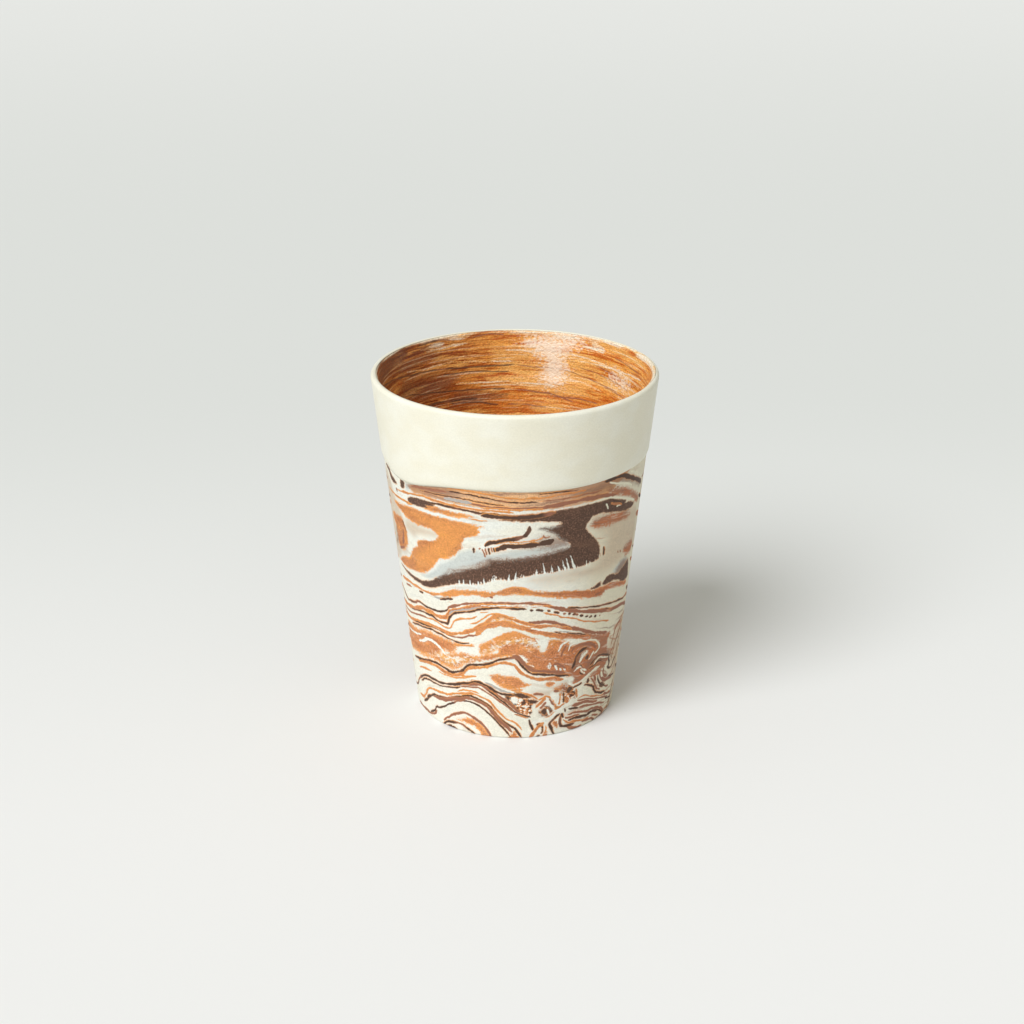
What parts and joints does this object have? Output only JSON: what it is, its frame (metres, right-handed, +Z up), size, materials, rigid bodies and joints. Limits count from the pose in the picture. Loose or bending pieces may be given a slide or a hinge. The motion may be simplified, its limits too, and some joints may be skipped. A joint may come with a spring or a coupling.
{
  "type": "ceramic tumbler",
  "caption": "Tapered handleless tumbler of marbled clay with a cream slip band at the rim and a glazed inside, for drinking from.",
  "frame": {"origin": "centre of the foot, on the surface that the cup stands on", "axes": "+Z up the cup's axis towards the mouth; -Y is the side that faces the viewer"},
  "size_m": [0.0798, 0.0798, 0.1],
  "materials": {
    "marbled_clay": "matte, bare fired clay marbled in cream, ochre and dark brown",
    "floor_clay": "matte, bare fired clay",
    "cream_slip": "eggshell cream slip",
    "inner_glaze": "gloss, clear glaze over smeared marbled clay"
  },
  "bodies": {
    "root": {"marbled_wall": "marbled_clay", "floor_disc": "floor_clay", "cream_slip": "cream_slip", "inner_glaze": "inner_glaze"}
  },
  "joints": []
}
